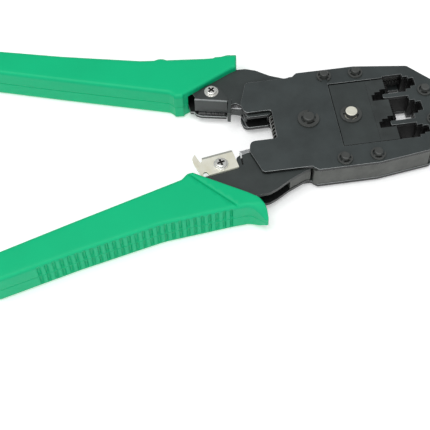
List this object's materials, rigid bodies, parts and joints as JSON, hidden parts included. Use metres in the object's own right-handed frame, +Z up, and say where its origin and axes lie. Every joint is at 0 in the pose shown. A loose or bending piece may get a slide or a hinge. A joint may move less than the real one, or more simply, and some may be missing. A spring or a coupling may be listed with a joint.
{
  "type": "crimping tool",
  "caption": "Hand crimping tool for modular telephone and network plugs, with a stepped die head, sliding ram, cutter and green moulded grips.",
  "frame": {"origin": "middle of the pivot pin's lower end, on the surface that the tool lies on", "axes": "+X along the head towards its nose, +Z up through the head's thickness, +Y towards the fixed handle"},
  "size_m": [0.1958, 0.1198, 0.016],
  "materials": {
    "head_paint": "satin black stove enamel",
    "arm_paint": "satin black stove enamel",
    "spacer_steel": "blackened steel",
    "die_steel": "blackened tool steel",
    "ram_paint": "satin black",
    "black_pin": "black oxide, turned",
    "bright_pin": "nickel plated, turned",
    "bright_screw": "nickel plated",
    "blade_steel": "ground",
    "fork_paint": "satin black",
    "stop_plate": "zinc plated",
    "hardened_steel": "ground and hardened",
    "bronze_bush": "sintered bronze",
    "spring_steel": "oiled spring wire",
    "green_grip": "satin moulded vinyl"
  },
  "bodies": {
    "head": {"top_side_plate": "head_paint", "bottom_side_plate": "head_paint", "upper_side_wall": "spacer_steel", "lower_side_wall": "spacer_steel", "die_block": "die_steel", "frame_pins": "black_pin", "frame_pin_clips": "black_pin", "pivot_pin": "black_pin", "pivot_clips": "black_pin", "fixed_arm_top_plate": "arm_paint", "fixed_arm_bottom_plate": "arm_paint", "fixed_arm_spacer": "spacer_steel", "blade_cover": "arm_paint", "cover_screw": "bright_screw", "cover_screw_washer": "bright_screw", "cutter_blade": "blade_steel", "strip_blade": "blade_steel", "cable_fork": "fork_paint", "fixed_spring_seat": "spring_steel", "return_spring": "spring_steel", "ram_return_springs": "spring_steel", "fixed_grip": "green_grip"},
    "moving_handle": {"pivot_bush": "bronze_bush", "moving_arm_top_plate": "arm_paint", "moving_arm_bottom_plate": "arm_paint", "nose_cam": "hardened_steel", "cam_rivets": "bright_pin", "moving_arm_web": "spacer_steel", "moving_arm_spacer": "spacer_steel", "stop_plate": "stop_plate", "anvil_strip": "blade_steel", "stop_screw": "bright_screw", "stop_screw_washer": "bright_screw", "moving_spring_seat": "spring_steel", "moving_grip": "green_grip"},
    "ram": {"ram_top_plate": "ram_paint", "ram_bottom_plate": "ram_paint", "punch_block": "die_steel", "ram_core": "die_steel", "ram_pin": "bright_pin", "ram_pin_clips": "black_pin", "contact_comb_8p": "hardened_steel", "contact_comb_6p": "hardened_steel", "contact_comb_4p": "hardened_steel", "strain_plunger_8p": "hardened_steel", "strain_plunger_6p": "hardened_steel", "strain_plunger_4p": "hardened_steel"},
    "roller": {"cam_roller": "hardened_steel"}
  },
  "joints": [
    {"name": "handle_hinge", "type": "hinge", "parent": "head", "child": "moving_handle", "pos_m": [0, 0, 0.0074], "axis": [0, 0, -1], "range_deg": [0, 35], "stiffness_Nm_per_rad": 0.6, "springref_deg": -20.05, "deforming": ["return_spring"]},
    {"name": "ram_slide", "type": "slide", "parent": "head", "child": "ram", "axis": [1, 0, 0], "range_m": [0, 0.0041], "stiffness_N_per_m": 200, "springref_m": -0.002, "deforming": ["ram_return_springs"]},
    {"name": "roller_spin", "type": "hinge", "parent": "ram", "child": "roller", "pos_m": [0.0181, 0, 0.0074], "axis": [0, 0, 1], "continuous": true}
  ],
  "couplings": [
    {"joint": "ram_slide", "follows": "handle_hinge", "m_per_rad": 0.0065481}
  ]
}
